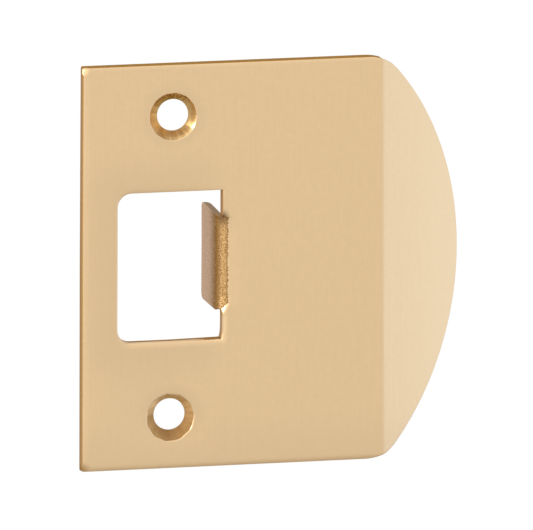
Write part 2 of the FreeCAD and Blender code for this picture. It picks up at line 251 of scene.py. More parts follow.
def cut_line(blank, start, x, z):
    """A straight cut on the flat blank, from the last point to this one."""
    end = blank.verts.new((x, 0, z))
    blank.edges.new((start, end))
    return end


def cut_arc(blank, start, x, z, angle, steps):
    """A round cut on the flat blank, about this centre, clockwise as seen from the front."""
    swept = bmesh.ops.spin(blank, geom=[start], cent=(x, 0, z), axis=(0, 1, 0), angle=angle, steps=steps)
    return next(v for v in swept["geom_last"] if isinstance(v, bmesh.types.BMVert))


def bisect(blank, faces, place, direction):
    """Scores the blank along a line without parting it."""
    # A dict and not a set, so that the parts come in the same order each run.
    around = dict.fromkeys(part for f in faces for part in (*f.verts, *f.edges))
    bmesh.ops.bisect_plane(
        blank, geom=[*faces, *around], dist=MERGE, plane_co=place, plane_no=direction
    )


def draw_half_blank(blank):
    """The upper half of the flat blank, from the left edge round the lip, the tab and the opening."""
    quarter = math.pi / 2
    first = blank.verts.new((PLATE_LEFT, 0, 0))
    at = cut_line(blank, first, PLATE_LEFT, PLATE_HALF_HEIGHT - CORNER_PATCH)
    at = cut_line(blank, at, PLATE_LEFT, PLATE_HALF_HEIGHT - PLATE_CORNER)
    corner_x, corner_z = PLATE_LEFT + PLATE_CORNER, PLATE_HALF_HEIGHT - PLATE_CORNER
    at = cut_arc(blank, at, corner_x, corner_z, quarter, PLATE_CORNER_STEPS)
    at = cut_line(blank, at, PLATE_LEFT + CORNER_PATCH, PLATE_HALF_HEIGHT)
    at = cut_line(blank, at, 0, PLATE_HALF_HEIGHT)
    at = cut_line(blank, at, LIP_CORNER_X, PLATE_HALF_HEIGHT)
    at = cut_arc(blank, at, LIP_CORNER_X, LIP_CORNER_Z, quarter - LIP_ARC_SWEEP, LIP_CORNER_STEPS)
    at = cut_arc(blank, at, LIP_ARC_X, 0, LIP_ARC_SWEEP, LIP_ARC_STEPS)
    at = cut_line(blank, at, SOFT_RIGHT, 0)
    at = cut_line(blank, at, TAB_END, 0)
    at = cut_line(blank, at, TAB_END, TAB_HALF_HEIGHT - TAB_CORNER)
    corner_x, corner_z = TAB_END + TAB_CORNER, TAB_HALF_HEIGHT - TAB_CORNER
    at = cut_arc(blank, at, corner_x, corner_z, quarter, TAB_CORNER_STEPS)
    at = cut_line(blank, at, TAB_ROOT, TAB_HALF_HEIGHT)
    at = cut_line(blank, at, TAB_ROOT, TAB_HALF_HEIGHT + TAB_SLIT)
    at = cut_line(blank, at, OPENING_RIGHT, TAB_HALF_HEIGHT + TAB_SLIT)
    at = cut_line(blank, at, OPENING_RIGHT, OPENING_HALF_HEIGHT)
    at = cut_line(blank, at, 0, OPENING_HALF_HEIGHT)
    corner_x, corner_z = OPENING_LEFT + OPENING_CORNER, OPENING_HALF_HEIGHT - OPENING_CORNER
    at = cut_line(blank, at, corner_x, OPENING_HALF_HEIGHT)
    at = cut_arc(blank, at, corner_x, corner_z, -quarter, OPENING_CORNER_STEPS)
    at = cut_line(blank, at, OPENING_LEFT, 0)
    at = cut_line(blank, at, SOFT_LEFT, 0)
    blank.edges.new((at, first))


def on_tab(point):
    """True between the tab's root and its end, and between its two slits."""
    return TAB_END - TAB_SLIT < point.x < TAB_ROOT and abs(point.z) < TAB_HALF_HEIGHT + TAB_SLIT / 2


def marked(blank, x, z):
    """The point of the flat blank at this place."""
    return next(v for v in blank.verts if (v.co - Vector((x, 0, z))).length < MERGE)


def make_flat_blank():
    """The whole flat blank as one sheet of faces, with the screw holes marked but still filled."""
    blank = bmesh.new()
    draw_half_blank(blank)
    half = bmesh.ops.contextual_create(blank, geom=blank.edges[:])["faces"][0]
    hole = bmesh.ops.create_circle(
        blank,
        segments=HOLE_SEGMENTS,
        radius=COUNTERSINK_RADIUS,
        matrix=Matrix.Translation((0, 0, SCREW_Z)) @ Matrix.Rotation(math.pi / 2, 4, "X"),
    )["verts"]
    marks = [e for e in blank.edges if e.verts[0] in hole]
    over_sill = blank.verts.new((0, 0, SOFT_TOP))
    top_left = blank.verts.new((SOFT_LEFT, 0, SOFT_TOP))
    top_right = blank.verts.new((SOFT_RIGHT, 0, SOFT_TOP))
    patch_x, patch_z = PLATE_LEFT + CORNER_PATCH, PLATE_HALF_HEIGHT - CORNER_PATCH
    patch = blank.verts.new((patch_x, 0, patch_z))
    for ends in (
        (marked(blank, 0, OPENING_HALF_HEIGHT), over_sill),
        (over_sill, marked(blank, 0, SCREW_Z - COUNTERSINK_RADIUS)),
        (marked(blank, 0, SCREW_Z + COUNTERSINK_RADIUS), marked(blank, 0, PLATE_HALF_HEIGHT)),
        (marked(blank, SOFT_LEFT, 0), top_left),
        (top_left, over_sill),
        (over_sill, top_right),
        (top_right, marked(blank, SOFT_RIGHT, 0)),
        (marked(blank, PLATE_LEFT, patch_z), patch),
        (patch, marked(blank, patch_x, PLATE_HALF_HEIGHT)),
    ):
        marks.append(blank.edges.new(ends))
    bmesh.utils.face_split_edgenet(half, marks)
    bmesh.ops.mirror(
        blank, geom=[*blank.verts, *blank.edges, *blank.faces], axis="Z", merge_dist=MERGE
    )
    bmesh.ops.remove_doubles(blank, verts=blank.verts, dist=MERGE)
    return blank


def in_soft_border(face):
    """True for a face of the border that the punch draws in round the opening, and of the tab."""
    low, high = SOFT_LEFT - MERGE, SOFT_RIGHT + MERGE
    return all(low < v.co.x < high and abs(v.co.z) < SOFT_TOP + MERGE for v in face.verts)


def is_hole_filling(face):
    """True for the disc that still fills a screw hole."""
    return all(
        abs(math.hypot(v.co.x, abs(v.co.z) - SCREW_Z) - COUNTERSINK_RADIUS) < MERGE for v in face.verts
    )


def ring(blank, faces, distances):
    """Insets the faces step by step, so that rings of faces follow every edge at these distances."""
    done = 0
    for distance in distances:
        bmesh.ops.inset_region(
            blank, faces=faces, thickness=distance - done, use_boundary=True, use_even_offset=True
        )
        done = distance


def thicken(blank):
    """Gives the blank its thickness towards the front, and rings along its edges for their rolls."""
    raised = bmesh.ops.extrude_face_region(blank, geom=blank.faces[:])["geom"]
    front = [g for g in raised if isinstance(g, bmesh.types.BMFace)]
    bmesh.ops.translate(blank, verts=list({v for f in front for v in f.verts}), vec=(0, -SHEET, 0))
    bmesh.ops.recalc_face_normals(blank, faces=blank.faces)
    ring(blank, [f for f in front if in_soft_border(f)], OPENING_RINGS)
    ring(blank, [f for f in front if not in_soft_border(f) and not is_hole_filling(f)], EDGE_RINGS)
    ring(blank, [f for f in blank.faces if f.normal.y > SQUARE_ON and in_soft_border(f)], OPENING_RINGS)
    for f in blank.faces:
        f.material_index = FACE if f.normal.y < -SQUARE_ON else BACK if f.normal.y > SQUARE_ON else EDGE


def cuts(low, high, spacing):
    """Evenly spaced places between two ends, the ends left out."""
    count = round((high - low) / spacing)
    return [low + (high - low) * i / count for i in range(1, count)]


def score(blank):
    """Cuts the sheet into strips where the lip folds, and finely where the sheet is drawn or grained."""
    across, upward, along_fold = Vector((1, 0, 0)), Vector((0, 0, 1)), Vector((1, 0, FOLD_LEAN))
    fold_end = FOLD_LINE + FOLD_HALF
    folds = [FOLD_START - FOLD_MARGIN, FOLD_START, fold_end, fold_end + FOLD_MARGIN]
    for x in folds + cuts(FOLD_START, fold_end, 2 * FOLD_HALF / FOLD_STRIPS):
        bisect(blank, blank.faces[:], (x, 0, 0), along_fold)
    bisect(blank, blank.faces[:], (TAB_ROOT, 0, 0), across)

    def chosen(test):
        """The faces whose middle passes this test."""
        return [f for f in blank.faces if test(f.calc_center_bounds())]

    # The slopes along the left edge, the head and the foot.
    for distance in EDGE_STRIPS:
        for place, direction in (
            ((PLATE_LEFT + distance, 0, 0), across),
            ((0, 0, PLATE_HALF_HEIGHT - distance), upward),
            ((0, 0, distance - PLATE_HALF_HEIGHT), upward),
        ):
            bisect(blank, [f for f in blank.faces if f.material_index == FACE], place, direction)

    # The worn corners on the left.
    def in_patch(p):
        return p.x < PLATE_LEFT + CORNER_PATCH and abs(p.z) > PLATE_HALF_HEIGHT - CORNER_PATCH

    for x in cuts(PLATE_LEFT, PLATE_LEFT + CORNER_PATCH, CORNER_CUT):
        bisect(blank, chosen(in_patch), (x, 0, 0), across)
    for z in cuts(PLATE_HALF_HEIGHT - CORNER_PATCH, PLATE_HALF_HEIGHT, CORNER_CUT):
        bisect(blank, chosen(in_patch), (0, 0, z), upward)
        bisect(blank, chosen(in_patch), (0, 0, -z), upward)

    # The ground round the tab's root, and the walls above and below it.
    def in_ground(p):
        return OPENING_RIGHT - MERGE < p.x < SOFT_RIGHT and abs(p.z) < OPENING_HALF_HEIGHT and not on_tab(p)

    for z in (-OPENING_HALF_HEIGHT, OPENING_HALF_HEIGHT):
        beside = [f for f in chosen(lambda p: OPENING_RIGHT < p.x < SOFT_RIGHT) if in_soft_border(f)]
        bisect(blank, beside, (0, 0, z), upward)
    for x in cuts(OPENING_RIGHT, SOFT_RIGHT, ROOT_CUT):
        bisect(blank, chosen(in_ground), (x, 0, 0), across)
    for z in cuts(-OPENING_HALF_HEIGHT, OPENING_HALF_HEIGHT, ROOT_CUT):
        bisect(blank, chosen(in_ground), (0, 0, z), upward)

    # The sill's right end.
    sill = chosen(lambda p: 0 < p.x < OPENING_RIGHT and -SOFT_TOP < p.z < MERGE - OPENING_HALF_HEIGHT)
    bisect(blank, sill, (OPENING_RIGHT - SILL_WRAP[0], 0, 0), across)

    # The tab's bend.
    for x in cuts(TAB_ROOT - TAB_BEND - BEND_MARGIN, TAB_ROOT, GRAIN_CUT):
        bisect(blank, chosen(on_tab), (x, 0, 0), across)
    for z in cuts(-TAB_HALF_HEIGHT, TAB_HALF_HEIGHT, GRAIN_CUT):
        bend = chosen(lambda p: on_tab(p) and p.x > TAB_ROOT - TAB_BEND - BEND_MARGIN)
        bisect(blank, bend, (0, 0, z), upward)


def quarter_round(distance, width, depth):
    """How far a rolled edge has dropped at this distance in from it."""
    if distance >= width:
        return 0
    return depth * (1 - math.sqrt(1 - (1 - max(distance, 0) / width) ** 2))


def clamp(value):
    """The value held between nothing and one."""
    return min(max(value, 0), 1)


def slope(distance, width, depth):
    """How far a softly sloping border has dropped at this distance in from its edge."""
    return depth * max(1 - distance / width, 0) ** 2


def worn(apart, depth):
    """How far a worn corner has dropped, where apart runs from 0 at its heart to 1 at its border."""
    return depth * max(1 - apart, 0) ** 2


def outer_roll(x, z):
    """How far the shear has drawn the plate's outer edge over: widely at the foot, hardly at the head."""
    high = abs(z)
    from_rim = min(PLATE_HALF_HEIGHT - high, LIP_ARC - math.hypot(x - LIP_ARC_X, high))
    on_corner = x > LIP_CORNER_X and high > LIP_CORNER_Z
    if on_corner and (x - LIP_ARC_X) * LIP_CORNER_Z < high * (LIP_CORNER_X - LIP_ARC_X):
        from_rim = LIP_CORNER - math.hypot(x - LIP_CORNER_X, high - LIP_CORNER_Z)
    low = clamp(0.5 - z / PLATE_HALF_HEIGHT)
    width, depth = (head + (foot - head) * low for head, foot in zip(HEAD_ROLL, FOOT_ROLL))
    reach, drop = HEAD_CORNER_WEAR if z > 0 else FOOT_CORNER_WEAR
    corner = math.hypot(x - PLATE_LEFT, high - PLATE_HALF_HEIGHT + PLATE_CORNER) / reach
    rolled = quarter_round(x - PLATE_LEFT, *SIDE_ROLL) + quarter_round(from_rim, width, depth)
    sloped = slope(x - PLATE_LEFT, *SIDE_SLOPE) + slope(z + PLATE_HALF_HEIGHT, *FOOT_SLOPE)
    sloped += slope(PLATE_HALF_HEIGHT - z, *HEAD_SLOPE)
    return rolled + sloped + worn(corner, drop)


def opening_roll(x, z):
    """How far the punch has drawn the front over beside the opening, each side of it in its own way."""
    core_x = min(max(x, OPENING_LEFT + OPENING_CORNER), OPENING_RIGHT - OPENING_CORNER)
    core_z = min(max(z, OPENING_CORNER - OPENING_HALF_HEIGHT), OPENING_HALF_HEIGHT - OPENING_CORNER)
    right, up = x - core_x, z - core_z
    apart = math.hypot(right, up)
    if x < OPENING_LEFT + OPENING_CORNER:
        distance = apart - OPENING_CORNER
    else:
        distance = math.hypot(max(x - OPENING_RIGHT, 0), max(abs(z) - OPENING_HALF_HEIGHT, 0))
    jamb = (right / apart) ** 2
    wall = OPENING_SIDE_ROLL if right < 0 else LOWER_WALL_ROLL if z < 0 else UPPER_WALL_ROLL
    end = OPENING_HEAD_ROLL if up > 0 else OPENING_SILL_ROLL
    width, depth = (e + (w - e) * jamb for w, e in zip(wall, end))
    rolled = quarter_round(distance, width, depth)
    if up < 0:
        rolled += (1 - jamb) * slope(distance, *SILL_SLOPE)
    if right > 0 > z:
        flat_for, fade = WALL_ROLL_FADE
        rolled += jamb * slope(distance, *LOWER_WALL_SLOPE)
        rolled *= clamp((abs(z) - TAB_HALF_HEIGHT - flat_for) / fade)
    return rolled


def slit_facet(x, z):
    """How far the bending tab has drawn in the plate's corner beside its slit, to a softly bounded facet."""
    tilt_left, tilt_up, reach = UPPER_FACET if z > 0 else LOWER_FACET
    sunk = tilt_left * (OPENING_RIGHT + reach - x) - tilt_up * (abs(z) - TAB_HALF_HEIGHT)
    ends, fade = FACET_ENDS
    within = clamp((TAB_HALF_HEIGHT + ends - abs(z)) / fade)
    softened = max(sunk, 0) ** 2 / (2 * FACET_SOFT) if sunk < FACET_SOFT else sunk - FACET_SOFT / 2
    return within * softened


def from_tab_edge(x, z):
    """Distance in from the tab's free edges, on the flat blank."""
    z = abs(z)
    corner_x, corner_z = TAB_END + TAB_CORNER, TAB_HALF_HEIGHT - TAB_CORNER
    if x < corner_x and z > corner_z:
        return TAB_CORNER - math.hypot(x - corner_x, z - corner_z)
    return min(x - TAB_END, TAB_HALF_HEIGHT - z)


def roll_edges(blank):
    """Draws the edges over: the plate's towards the front, and the tab's inner ones towards the back."""
    for v in blank.verts:
        x, y, z = v.co
        tab = on_tab(v.co)
        front, back = y < MERGE - SHEET, y > -MERGE
        drop = 0
        if front and not tab:
            drop = outer_roll(x, z)
            rim = math.hypot(x, abs(z) - SCREW_Z) - COUNTERSINK_RADIUS
            drop += quarter_round(rim, *RIM_ROLLS[1 if z > 0 else -1])
            if abs(z) > TAB_HALF_HEIGHT + TAB_SLIT / 2 or x < OPENING_RIGHT:
                drop += opening_roll(x, z)
            if x > OPENING_RIGHT - MERGE and abs(z) > TAB_HALF_HEIGHT:
                drop = min(drop + slit_facet(x, z), MOST_ROLL)
        if front and tab and x < TAB_ROOT - TAB_BEND:
            drop = quarter_round(from_tab_edge(x, z), *TAB_EDGE_ROLL)
        if back and tab:
            settled = clamp((TAB_ROOT - x) / TAB_BEND)
            drop -= settled * quarter_round(from_tab_edge(x, z), *TAB_ROLL)
        v.co.y += drop


def draw_in_root(blank):
    """The plate gives a little where the tab is bent out of it."""
    width, depth = LEAD_IN
    for v in blank.verts:
        x, z = v.co.x, abs(v.co.z)
        if on_tab(v.co) or (OPENING_RIGHT - MERGE < x < SOFT_RIGHT and z < OPENING_HALF_HEIGHT):
            near = clamp(1 - (x - TAB_ROOT) / width)
            within = clamp((TAB_HALF_HEIGHT + LEAD_IN_PAST - z) / LEAD_IN_FADE)
            v.co.y += depth * near**2 * within


def sink_screw_hole(blank, side):
    """Drills one hole through and cuts its countersink."""
    axis = Vector((0, 0, side * SCREW_Z))
    to_axis = Matrix.Translation(-axis)
    filled = [f for f in blank.faces if is_hole_filling(f) and f.calc_center_median().z * side > 0]
    filled.sort(key=lambda f: f.calc_center_median().y)
    back_rim = list(filled[1].verts)
    edges = filled[0].edges[:]
    bmesh.ops.delete(blank, geom=filled, context="FACES_ONLY")
    shrink = SCREW_HOLE_RADIUS / COUNTERSINK_RADIUS
    bmesh.ops.scale(blank, verts=back_rim, vec=(shrink, 1, shrink), space=to_axis)
    radius = COUNTERSINK_RADIUS
    cut = []
    for i in range(SINK_STEPS + 1):
        drawn = bmesh.ops.extrude_edge_only(blank, edges=edges)["geom"]
        edges = [g for g in drawn if isinstance(g, bmesh.types.BMEdge) and g.is_boundary]
        cut += [g for g in drawn if isinstance(g, bmesh.types.BMFace)]
        verts = list(dict.fromkeys(v for e in edges for v in e.verts))
        if i < SINK_STEPS:
            smaller = radius - (COUNTERSINK_RADIUS - SCREW_HOLE_RADIUS) / SINK_STEPS
            step = smaller / radius
            radius = smaller
            bmesh.ops.scale(blank, verts=verts, vec=(step, 1, step), space=to_axis)
            bmesh.ops.translate(blank, verts=verts, vec=(0, COUNTERSINK_DEPTH / SINK_STEPS, 0))
        else:
            depth = max(v.co.y for v in back_rim) - max(v.co.y for v in verts)
            bmesh.ops.translate(blank, verts=verts, vec=(0, depth, 0))
    for f in cut:
        f.material_index = COUNTERSINK
    bmesh.ops.remove_doubles(blank, verts=back_rim + verts, dist=MERGE)


def settle_hole(flat, side):
    """Moves a countersink and its bore off their marks, and leaves the facets of a chattering cutter."""
    for v, place in flat.items():
        right, up = place.x, place.z - side * SCREW_Z
        near = clamp((COUNTERSINK_RADIUS + HOLE_SETTLING - math.hypot(right, up)) / HOLE_SETTLING)
        deep = clamp((place.y + SHEET) / COUNTERSINK_DEPTH)
        angle = math.atan2(up, right)
        round_rim = Vector((math.cos(angle), math.sin(angle), side)) * CHATTER_ROAM
        phase = CHATTER_FACETS[side] * angle / 2 + CHATTER_SLIP * noise.noise(round_rim)
        bite = CHATTER_DEPTH[side] * (1 + noise.noise(round_rim + Vector((0, 0, CHATTER_ROAM)))) * (1 - deep)
        bite *= abs(math.sin(phase))
        sink, bore = SINK_SHIFTS[side], BORE_SHIFTS[side]
        v.co.x += near * (sink[0] + (bore[0] - sink[0]) * deep - bite * math.cos(angle))
        v.co.z += near * (sink[1] + (bore[1] - sink[1]) * deep - bite * math.sin(angle))


def fold(point):
    """Where a point of the flat blank ends up once the lip and the tab are bent back."""
    along, depth, z = point
    radius = FOLD_INSIDE_RADIUS - depth
    start = FOLD_START - FOLD_LEAN * z
    if along > start:
        turn = LIP_ANGLE * min((along - start) / (2 * FOLD_HALF), 1)
        straight = max(along - start - 2 * FOLD_HALF, 0)
        x = start + radius * math.sin(turn) + straight * math.cos(turn)
        y = FOLD_INSIDE_RADIUS - radius * math.cos(turn) + straight * math.sin(turn)
        return Vector((x, y, z))
    if on_tab(point):
        back = TAB_ROOT - along
        turn = min(back / FOLD_OUTSIDE_RADIUS, math.pi / 2)
        straight = max(back - TAB_BEND, 0)
        x = TAB_ROOT - radius * math.sin(turn) - straight * math.cos(turn)
        y = FOLD_INSIDE_RADIUS - radius * math.cos(turn) + straight * math.sin(turn)
        return Vector((x, y, z))
    return point


def rise(place):
    """How far the tab, and the ground round its root, sits above its mark. The slits close in to the root."""
    if not on_tab(place) and place.x < OPENING_RIGHT - MERGE:
        return 0
    side = 1 if place.z > 0 else -1
    reach_x, reach_z = SLIT_RISE_REACH
    beside = clamp((SOFT_RIGHT - place.x) / SOFT_MARGIN)
    up = clamp(0.5 + place.z / TAB_HALF_HEIGHT / 2)
    at_root, at_end = (low + (high - low) * up for low, high in (TAB_ROOT_RISES, TAB_END_RISES))
    back = max(TAB_ROOT - place.x, 0)
    share, bend_reach, fade = BEND_END_RISE
    near = max(clamp(1 - (back / reach_x) ** 2), share * clamp((bend_reach - back) / fade))
    near *= clamp(1 - abs(abs(place.z) - TAB_HALF_HEIGHT) / reach_z)
    raised = SLIT_RISES[side] * near * beside
    if on_tab(place):
        along = (TAB_ROOT - place.x) / (TAB_ROOT - TAB_END)
        return raised + at_root + at_end * along**TAB_END_CURVE
    fading = (OPENING_HALF_HEIGHT - abs(place.z)) / (OPENING_HALF_HEIGHT - TAB_HALF_HEIGHT)
    return raised + at_root * beside * clamp(fading)


def bow(place):
    """How far the wall below the tab bends left towards the sill and the slit."""
    if on_tab(place) or place.z > -TAB_HALF_HEIGHT:
        return 0
    reach, depth = LOWER_WALL_BOW
    low = clamp((reach - OPENING_HALF_HEIGHT - place.z) / reach)
    slit_reach, slit_depth = SLIT_BOW
    high = clamp((slit_reach + TAB_HALF_HEIGHT + place.z) / slit_reach)
    near = clamp(1 - abs(place.x - OPENING_RIGHT) / OPENING_RINGS[-1])
    below = clamp((OPENING_HALF_HEIGHT + OPENING_RINGS[-1] + place.z) / OPENING_RINGS[-1])
    return -(depth * low**2 * below + slit_depth * high**2) * near


def lean(place):
    """How far the shear has run out to the left, from nothing at the head to the most below the middle."""
    near = clamp(1 - (place.x - PLATE_LEFT) / EDGE_RINGS[-1])
    return -SIDE_LEAN * near * clamp(1 - place.z / PLATE_HALF_HEIGHT)


def lift(place):
    """How far the sill rises towards its right end."""
    reach = OPENING_RINGS[-1]
    near = clamp(1 - abs(place.z + OPENING_HALF_HEIGHT) / reach)
    near *= clamp(1 - (place.x - OPENING_RIGHT) / reach)
    return SILL_LIFT * clamp(place.x / OPENING_RIGHT) * near


def burr(place):
    """How far the shear has pulled the foot's left corner down at the back."""
    reach, depth = FOOT_CORNER_BURR
    apart = math.hypot(place.x - PLATE_LEFT, place.z + PLATE_HALF_HEIGHT) / reach
    return depth * clamp(1 - apart**2) * clamp(1 + place.y / SHEET)


def is_polished(place):
    """True where the polishing wheel has reached over the tab's root, up to a ragged line."""
    ragged = noise.noise(Vector((place.x, 0, place.z)) / GRAIN_SIZE)
    return TAB_ROOT - place.x < POLISH_REACH + POLISH_RAGGED * ragged


def grain_the_bend(blank, flat):
    """Raises the orange-peel skin that stretching leaves on the outside of the tab's bend."""
    blank.normal_update()
    for v in blank.verts:
        place = flat[v]
        if not on_tab(place) or place.y > MERGE - SHEET or is_polished(place):
            continue
        back = TAB_ROOT - place.x
        strain = clamp((TAB_BEND + BEND_MARGIN - back) / (2 * BEND_MARGIN))
        spot = Vector((place.x, place.z, 0)) / GRAIN_SIZE
        bump = noise.noise(spot) + GRAIN_FINE * noise.noise(spot / GRAIN_FINE)
        v.co += v.normal * (GRAIN_HEIGHT * strain * (bump - 1))


def finish_of(face):
    """The finish of a face of the flat blank, where the tab and the wraps of the edges are told apart."""
    middle = face.calc_center_bounds()
    finish = face.material_index
    if finish == BACK and on_tab(middle) and from_tab_edge(middle.x, middle.z) < TAB_ROLL[0]:
        return EDGE
    if finish == EDGE and face.normal.z > UPWARD and not on_tab(middle):
        return TORN
    if finish != FACE:
        return finish
    if on_tab(middle):
        on_bend = middle.x > TAB_ROOT - TAB_BEND
        return FACE if is_polished(middle) else BEND if on_bend else TAB
    wrap = WALL_WRAP if middle.z > 0 else LOWER_WALL_WRAP
    beside_tab = TAB_HALF_HEIGHT < abs(middle.z) < OPENING_HALF_HEIGHT
    if beside_tab and OPENING_RIGHT < middle.x < OPENING_RIGHT + wrap:
        return EDGE
    length, width = SILL_WRAP
    at_end = OPENING_RIGHT - length < middle.x < OPENING_RIGHT
    on_sill = at_end and -width < middle.z + OPENING_HALF_HEIGHT < 0
    on_head = middle.z > PLATE_HALF_HEIGHT - HEAD_WRAP
    below_corner = middle.z < PLATE_HALF_HEIGHT - HEAD_CORNER_WEAR[0]
    on_side = below_corner and middle.x < PLATE_LEFT + SIDE_WRAP
    return TORN if on_head or on_side or on_sill else FACE


def press_plate():
    """The finished plate: blanked, edge-rolled, countersunk, folded and grained."""
    blank = make_flat_blank()
    thicken(blank)
    score(blank)
    for side in (1, -1):
        sink_screw_hole(blank, side)
    blank.normal_update()
    crisp = {e for e in blank.edges if {EDGE} < {f.material_index for f in e.link_faces}}
    for f in blank.faces:
        f.material_index = finish_of(f)
    flat = {v: v.co.copy() for v in blank.verts}
    roll_edges(blank)
    draw_in_root(blank)
    for side in (1, -1):
        settle_hole(flat, side)
    for v, place in flat.items():
        v.co = fold(v.co)
        v.co.z += rise(place)
        v.co.x += bow(place) + lean(place)
        v.co.z += lift(place) - burr(place)
    grain_the_bend(blank, flat)
    blank.normal_update()
    for e in blank.edges:
        e.smooth = e not in crisp and e.calc_face_angle(0) < CREASE
    for f in blank.faces:
        f.smooth = True
    bmesh.ops.scale(blank, verts=blank.verts, vec=(MM, MM, MM))
    mesh = bpy.data.meshes.new("pressed_plate")
    blank.to_mesh(mesh)
    blank.free()
    plate = bpy.data.objects.new("pressed_plate", mesh)
    bpy.context.collection.objects.link(plate)
    return plate


def linear(hex_colour):
    """An sRGB hex colour as linear RGBA."""
    parts = [int(hex_colour[i : i + 2], 16) / 255 for i in (1, 3, 5)]
    return (*((c / 12.92 if c <= 0.04045 else ((c + 0.055) / 1.055) ** 2.4) for c in parts), 1)


def add_node(tree, kind, settings, inputs, output=None):
    """One shader node: its settings, its inputs set to values or linked, and the output that is used."""
    made = tree.nodes.new("ShaderNode" + kind)
    for name, value in settings.items():
        setattr(made, name, value)
    open_inputs = [socket for socket in made.inputs if socket.enabled]
    by_name = {socket.name: socket for socket in reversed(open_inputs)}
    for name, value in inputs.items():
        socket = open_inputs[name] if isinstance(name, int) else by_name[name]
        if isinstance(value, bpy.types.NodeSocket):
            tree.links.new(value, socket)
        else:
            socket.default_value = value
    return made.outputs[output] if output else next(s for s in made.outputs if s.enabled)


def start_metal(name, settings):
    """A new bare metal, with these settings of its shader: the material, its tree and the piece's own
    coordinates in metres."""
    made = bpy.data.materials.new(name)
    made.use_nodes = True
    tree = made.node_tree
    for socket, value in {"Metallic": 1, **settings}.items():
        tree.nodes["Principled BSDF"].inputs[socket].default_value = value
    return made, tree, add_node(tree, "TexCoord", {}, {}, "Object")


def dressed(made, colour, **others):
    """The material, with this colour and these other inputs of its shader linked."""
    tree = made.node_tree
    for socket, value in {"Base Color": colour, **others}.items():
        tree.links.new(value, tree.nodes["Principled BSDF"].inputs[socket])
    return made


def per_size(*sizes):
    """Pattern scales for these sizes in millimetres."""
    return tuple(1 / (size * MM) for size in sizes)


# Settings that many nodes share: a mix of colours, and a change without a hard start or end.
RGBA = {"data_type": "RGBA"}
SOFTLY = {"interpolation_type": "SMOOTHSTEP"}


def nearness(tree, place, spot, reach, most):
    """How near each point is to a spot, both in millimetres: from nothing at this reach to the most at it."""
    apart = add_node(tree, "VectorMath", {"operation": "DISTANCE"}, {0: place, 1: Vector(spot) * MM})
    return add_node(
        tree, "MapRange", SOFTLY, {"Value": apart, "From Min": reach * MM, "From Max": 0, "To Max": most}
    )


